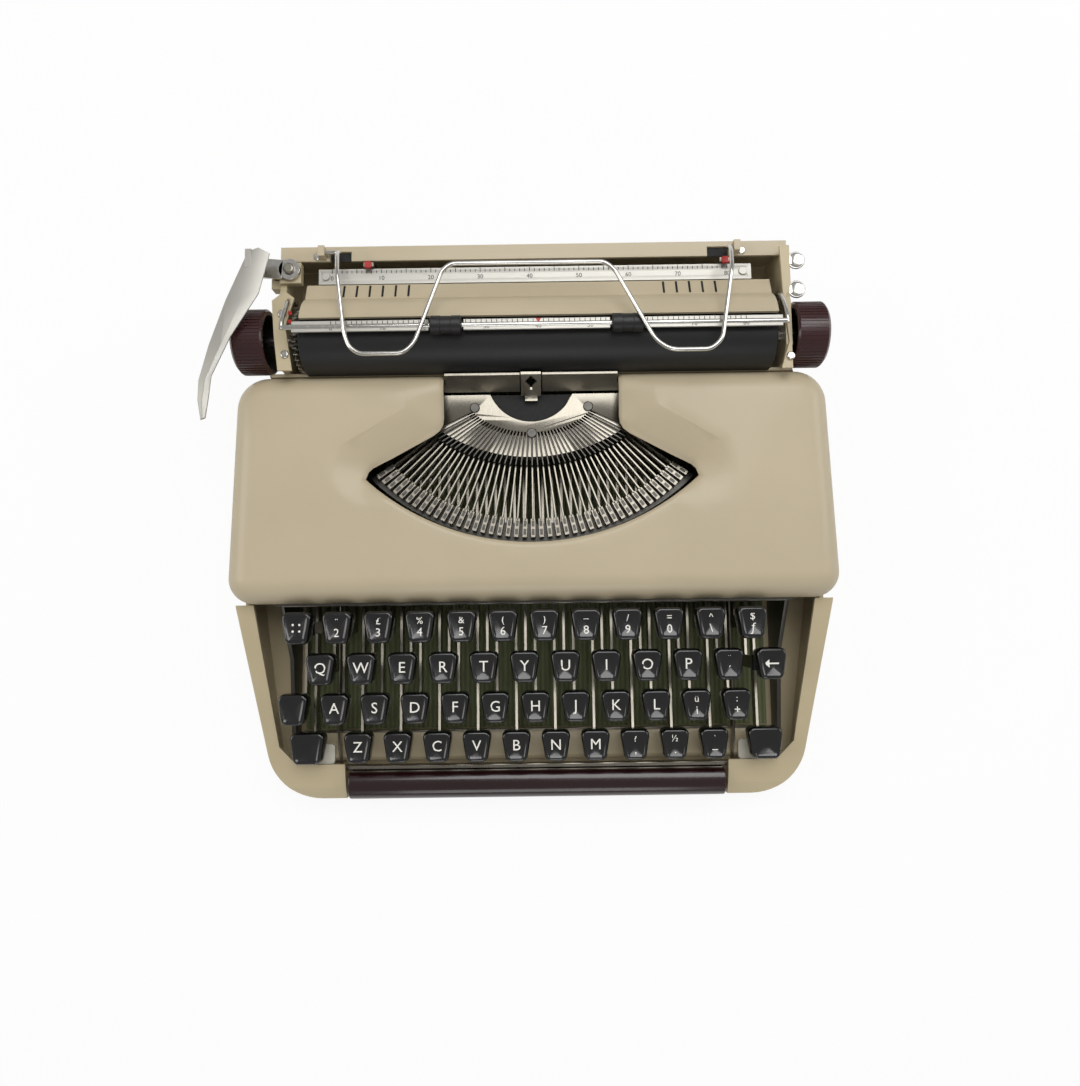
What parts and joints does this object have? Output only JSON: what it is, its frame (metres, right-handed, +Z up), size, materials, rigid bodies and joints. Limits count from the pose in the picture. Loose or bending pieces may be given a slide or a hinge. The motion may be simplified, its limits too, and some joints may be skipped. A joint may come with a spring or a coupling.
{
  "type": "typewriter",
  "caption": "Flat portable typewriter with a sliding carriage, ribbed platen knobs, a return lever, a wire paper support, a typebar fan and hinged letter keys.",
  "frame": {"origin": "on the table plane, on the body's centre line, midway between the front lip and the carriage's rear cover", "axes": "+X to the typist's right, +Y to the back, +Z up"},
  "size_m": [0.2915, 0.262, 0.0835],
  "materials": {
    "housing": "fine hammered enamel",
    "rubber": "matt",
    "frame_steel": "black lacquered steel",
    "bright_steel": "bright",
    "segment_steel": "satin nickel",
    "type_steel": "polished",
    "cap_black": "gloss",
    "bar_maroon": "gloss",
    "knob_maroon": "ribbed, semi-gloss",
    "platen_rubber": "satin",
    "ribbon_ink": "inked cotton",
    "spool_metal": "satin",
    "scale_metal": "brushed",
    "lever_metal": "satin",
    "wire_chrome": "polished",
    "stop_metal": "bright, red tip"
  },
  "bodies": {
    "frame": {"lower_housing": "housing", "rubber_feet": "rubber", "chassis": "frame_steel", "key_fulcrum": "bright_steel", "type_segment": "segment_steel", "typebars": "type_steel", "carriage_rail": "bright_steel", "type_guide": "bright_steel", "ribbon": "ribbon_ink", "figure_keys": "cap_black"},
    "cover": {"top_cover": "housing"},
    "spool_left": {"spool_left": "spool_metal"},
    "spool_right": {"spool_right": "spool_metal"},
    "space_bar": {"space_bar": "bar_maroon"},
    "shift": {"shift_keys": "cap_black"},
    "shift_lock": {"shift_lock": "cap_black"},
    "backspace": {"backspace": "cap_black"},
    "margin_release": {"margin_release": "cap_black"},
    "carriage": {"carriage_frame": "housing", "rear_cover": "housing", "paper_table": "housing", "margin_scale": "scale_metal"},
    "margin_stop_left": {"margin_stop_left": "stop_metal"},
    "margin_stop_right": {"margin_stop_right": "stop_metal"},
    "platen": {"platen": "platen_rubber", "platen_shaft": "bright_steel", "platen_knobs": "knob_maroon"},
    "feed_rollers": {"feed_rollers": "rubber"},
    "return_lever": {"return_lever": "lever_metal"},
    "paper_bail": {"paper_bail": "scale_metal"},
    "bail_rollers": {"bail_rollers": "rubber"},
    "paper_support": {"paper_support": "wire_chrome"},
    "carriage_release": {"carriage_release": "lever_metal"},
    "paper_release": {"paper_release": "lever_metal"},
    "key_q": {"key_q": "cap_black"},
    "key_a": {"key_a": "cap_black"},
    "key_z": {"key_z": "cap_black"},
    "key_w": {"key_w": "cap_black"},
    "key_s": {"key_s": "cap_black"},
    "key_x": {"key_x": "cap_black"},
    "key_e": {"key_e": "cap_black"},
    "key_d": {"key_d": "cap_black"},
    "key_c": {"key_c": "cap_black"},
    "key_r": {"key_r": "cap_black"},
    "key_f": {"key_f": "cap_black"},
    "key_v": {"key_v": "cap_black"},
    "key_t": {"key_t": "cap_black"},
    "key_g": {"key_g": "cap_black"},
    "key_b": {"key_b": "cap_black"},
    "key_y": {"key_y": "cap_black"},
    "key_h": {"key_h": "cap_black"},
    "key_n": {"key_n": "cap_black"},
    "key_u": {"key_u": "cap_black"},
    "key_j": {"key_j": "cap_black"},
    "key_m": {"key_m": "cap_black"},
    "key_i": {"key_i": "cap_black"},
    "key_k": {"key_k": "cap_black"},
    "key_o": {"key_o": "cap_black"},
    "key_l": {"key_l": "cap_black"},
    "key_p": {"key_p": "cap_black"}
  },
  "joints": [
    {"name": "key_q_press", "type": "hinge", "parent": "frame", "child": "key_q", "pos_m": [0, 0.1, 0.014], "axis": [1, 0, 0], "range_deg": [0, 2.8], "stiffness_Nm_per_rad": 0.8, "springref_deg": -6.88},
    {"name": "key_a_press", "type": "hinge", "parent": "frame", "child": "key_a", "pos_m": [0, 0.1, 0.014], "axis": [1, 0, 0], "range_deg": [0, 2.8], "stiffness_Nm_per_rad": 0.8, "springref_deg": -6.88},
    {"name": "key_z_press", "type": "hinge", "parent": "frame", "child": "key_z", "pos_m": [0, 0.1, 0.014], "axis": [1, 0, 0], "range_deg": [0, 2.8], "stiffness_Nm_per_rad": 0.8, "springref_deg": -6.88},
    {"name": "key_w_press", "type": "hinge", "parent": "frame", "child": "key_w", "pos_m": [0, 0.1, 0.014], "axis": [1, 0, 0], "range_deg": [0, 2.8], "stiffness_Nm_per_rad": 0.8, "springref_deg": -6.88},
    {"name": "key_s_press", "type": "hinge", "parent": "frame", "child": "key_s", "pos_m": [0, 0.1, 0.014], "axis": [1, 0, 0], "range_deg": [0, 2.8], "stiffness_Nm_per_rad": 0.8, "springref_deg": -6.88},
    {"name": "key_x_press", "type": "hinge", "parent": "frame", "child": "key_x", "pos_m": [0, 0.1, 0.014], "axis": [1, 0, 0], "range_deg": [0, 2.8], "stiffness_Nm_per_rad": 0.8, "springref_deg": -6.88},
    {"name": "key_e_press", "type": "hinge", "parent": "frame", "child": "key_e", "pos_m": [0, 0.1, 0.014], "axis": [1, 0, 0], "range_deg": [0, 2.8], "stiffness_Nm_per_rad": 0.8, "springref_deg": -6.88},
    {"name": "key_d_press", "type": "hinge", "parent": "frame", "child": "key_d", "pos_m": [0, 0.1, 0.014], "axis": [1, 0, 0], "range_deg": [0, 2.8], "stiffness_Nm_per_rad": 0.8, "springref_deg": -6.88},
    {"name": "key_c_press", "type": "hinge", "parent": "frame", "child": "key_c", "pos_m": [0, 0.1, 0.014], "axis": [1, 0, 0], "range_deg": [0, 2.8], "stiffness_Nm_per_rad": 0.8, "springref_deg": -6.88},
    {"name": "key_r_press", "type": "hinge", "parent": "frame", "child": "key_r", "pos_m": [0, 0.1, 0.014], "axis": [1, 0, 0], "range_deg": [0, 2.8], "stiffness_Nm_per_rad": 0.8, "springref_deg": -6.88},
    {"name": "key_f_press", "type": "hinge", "parent": "frame", "child": "key_f", "pos_m": [0, 0.1, 0.014], "axis": [1, 0, 0], "range_deg": [0, 2.8], "stiffness_Nm_per_rad": 0.8, "springref_deg": -6.88},
    {"name": "key_v_press", "type": "hinge", "parent": "frame", "child": "key_v", "pos_m": [0, 0.1, 0.014], "axis": [1, 0, 0], "range_deg": [0, 2.8], "stiffness_Nm_per_rad": 0.8, "springref_deg": -6.88},
    {"name": "key_t_press", "type": "hinge", "parent": "frame", "child": "key_t", "pos_m": [0, 0.1, 0.014], "axis": [1, 0, 0], "range_deg": [0, 2.8], "stiffness_Nm_per_rad": 0.8, "springref_deg": -6.88},
    {"name": "key_g_press", "type": "hinge", "parent": "frame", "child": "key_g", "pos_m": [0, 0.1, 0.014], "axis": [1, 0, 0], "range_deg": [0, 2.8], "stiffness_Nm_per_rad": 0.8, "springref_deg": -6.88},
    {"name": "key_b_press", "type": "hinge", "parent": "frame", "child": "key_b", "pos_m": [0, 0.1, 0.014], "axis": [1, 0, 0], "range_deg": [0, 2.8], "stiffness_Nm_per_rad": 0.8, "springref_deg": -6.88},
    {"name": "key_y_press", "type": "hinge", "parent": "frame", "child": "key_y", "pos_m": [0, 0.1, 0.014], "axis": [1, 0, 0], "range_deg": [0, 2.8], "stiffness_Nm_per_rad": 0.8, "springref_deg": -6.88},
    {"name": "key_h_press", "type": "hinge", "parent": "frame", "child": "key_h", "pos_m": [0, 0.1, 0.014], "axis": [1, 0, 0], "range_deg": [0, 2.8], "stiffness_Nm_per_rad": 0.8, "springref_deg": -6.88},
    {"name": "key_n_press", "type": "hinge", "parent": "frame", "child": "key_n", "pos_m": [0, 0.1, 0.014], "axis": [1, 0, 0], "range_deg": [0, 2.8], "stiffness_Nm_per_rad": 0.8, "springref_deg": -6.88},
    {"name": "key_u_press", "type": "hinge", "parent": "frame", "child": "key_u", "pos_m": [0, 0.1, 0.014], "axis": [1, 0, 0], "range_deg": [0, 2.8], "stiffness_Nm_per_rad": 0.8, "springref_deg": -6.88},
    {"name": "key_j_press", "type": "hinge", "parent": "frame", "child": "key_j", "pos_m": [0, 0.1, 0.014], "axis": [1, 0, 0], "range_deg": [0, 2.8], "stiffness_Nm_per_rad": 0.8, "springref_deg": -6.88},
    {"name": "key_m_press", "type": "hinge", "parent": "frame", "child": "key_m", "pos_m": [0, 0.1, 0.014], "axis": [1, 0, 0], "range_deg": [0, 2.8], "stiffness_Nm_per_rad": 0.8, "springref_deg": -6.88},
    {"name": "key_i_press", "type": "hinge", "parent": "frame", "child": "key_i", "pos_m": [0, 0.1, 0.014], "axis": [1, 0, 0], "range_deg": [0, 2.8], "stiffness_Nm_per_rad": 0.8, "springref_deg": -6.88},
    {"name": "key_k_press", "type": "hinge", "parent": "frame", "child": "key_k", "pos_m": [0, 0.1, 0.014], "axis": [1, 0, 0], "range_deg": [0, 2.8], "stiffness_Nm_per_rad": 0.8, "springref_deg": -6.88},
    {"name": "key_o_press", "type": "hinge", "parent": "frame", "child": "key_o", "pos_m": [0, 0.1, 0.014], "axis": [1, 0, 0], "range_deg": [0, 2.8], "stiffness_Nm_per_rad": 0.8, "springref_deg": -6.88},
    {"name": "key_l_press", "type": "hinge", "parent": "frame", "child": "key_l", "pos_m": [0, 0.1, 0.014], "axis": [1, 0, 0], "range_deg": [0, 2.8], "stiffness_Nm_per_rad": 0.8, "springref_deg": -6.88},
    {"name": "key_p_press", "type": "hinge", "parent": "frame", "child": "key_p", "pos_m": [0, 0.1, 0.014], "axis": [1, 0, 0], "range_deg": [0, 2.8], "stiffness_Nm_per_rad": 0.8, "springref_deg": -6.88},
    {"name": "backspace_press", "type": "hinge", "parent": "frame", "child": "backspace", "pos_m": [0, 0.1, 0.014], "axis": [1, 0, 0], "range_deg": [0, 2.8], "stiffness_Nm_per_rad": 0.8, "springref_deg": -6.88},
    {"name": "margin_release_press", "type": "hinge", "parent": "frame", "child": "margin_release", "pos_m": [0, 0.1, 0.014], "axis": [1, 0, 0], "range_deg": [0, 2.8], "stiffness_Nm_per_rad": 0.8, "springref_deg": -6.88},
    {"name": "shift_lock_press", "type": "hinge", "parent": "frame", "child": "shift_lock", "pos_m": [0, 0.1, 0.014], "axis": [1, 0, 0], "range_deg": [0, 2.8], "stiffness_Nm_per_rad": 0.8, "springref_deg": -6.88},
    {"name": "shift_press", "type": "hinge", "parent": "frame", "child": "shift", "pos_m": [0, 0.1, 0.014], "axis": [1, 0, 0], "range_deg": [0, 2.8], "stiffness_Nm_per_rad": 2, "springref_deg": -8.59},
    {"name": "space_bar_press", "type": "hinge", "parent": "frame", "child": "space_bar", "pos_m": [0, 0.1, 0.014], "axis": [1, 0, 0], "range_deg": [0, 1.5], "stiffness_Nm_per_rad": 3, "springref_deg": -8.59},
    {"name": "carriage_travel", "type": "slide", "parent": "frame", "child": "carriage", "axis": [1, 0, 0], "range_m": [-0.088, 0.088]},
    {"name": "cover_lift", "type": "slide", "parent": "frame", "child": "cover", "axis": [0, 0, 1], "range_m": [0, 0.01]},
    {"name": "spool_left_spin", "type": "hinge", "parent": "frame", "child": "spool_left", "pos_m": [-0.097, 0.045, 0.045], "axis": [0, 0, 1], "continuous": true},
    {"name": "spool_right_spin", "type": "hinge", "parent": "frame", "child": "spool_right", "pos_m": [0.097, 0.045, 0.045], "axis": [0, 0, 1], "continuous": true},
    {"name": "platen_turn", "type": "hinge", "parent": "carriage", "child": "platen", "pos_m": [0, 0.0874, 0.0566], "axis": [1, 0, 0], "continuous": true},
    {"name": "feed_roller_turn", "type": "hinge", "parent": "carriage", "child": "feed_rollers", "pos_m": [0, 0.10559, 0.0461], "axis": [1, 0, 0], "continuous": true},
    {"name": "return_lever_swing", "type": "hinge", "parent": "carriage", "child": "return_lever", "pos_m": [-0.111, 0.119, 0.065], "axis": [0, 0, 1], "range_deg": [0, 15], "stiffness_Nm_per_rad": 0.2, "springref_deg": -11.46},
    {"name": "paper_support_raise", "type": "hinge", "parent": "carriage", "child": "paper_support", "pos_m": [0, 0.127, 0.065], "axis": [1, 0, 0], "range_deg": [-85, 0]},
    {"name": "bail_lift", "type": "hinge", "parent": "carriage", "child": "paper_bail", "pos_m": [0, 0.106, 0.057], "axis": [1, 0, 0], "range_deg": [-21.25, 0]},
    {"name": "bail_roller_spin", "type": "hinge", "parent": "paper_bail", "child": "bail_rollers", "pos_m": [0, 0.087, 0.077], "axis": [1, 0, 0], "continuous": true},
    {"name": "margin_stop_left_slide", "type": "slide", "parent": "carriage", "child": "margin_stop_left", "axis": [1, 0, 0], "range_m": [-0.012, 0.06]},
    {"name": "margin_stop_right_slide", "type": "slide", "parent": "carriage", "child": "margin_stop_right", "axis": [1, 0, 0], "range_m": [-0.06, 0.003]},
    {"name": "carriage_release_press", "type": "hinge", "parent": "carriage", "child": "carriage_release", "pos_m": [0.1209, 0.122, 0.053], "axis": [1, 0, 0], "range_deg": [0, 12], "stiffness_Nm_per_rad": 0.05, "springref_deg": -17.19},
    {"name": "paper_release_pull", "type": "hinge", "parent": "carriage", "child": "paper_release", "pos_m": [0.1209, 0.108, 0.053], "axis": [1, 0, 0], "range_deg": [-14, 0]}
  ],
  "couplings": [
    {"joint": "feed_roller_turn", "follows": "platen_turn", "ratio": -3.3333},
    {"joint": "bail_lift", "follows": "paper_support_raise", "ratio": 0.25},
    {"joint": "spool_left_spin", "follows": "spool_right_spin", "ratio": 1}
  ]
}
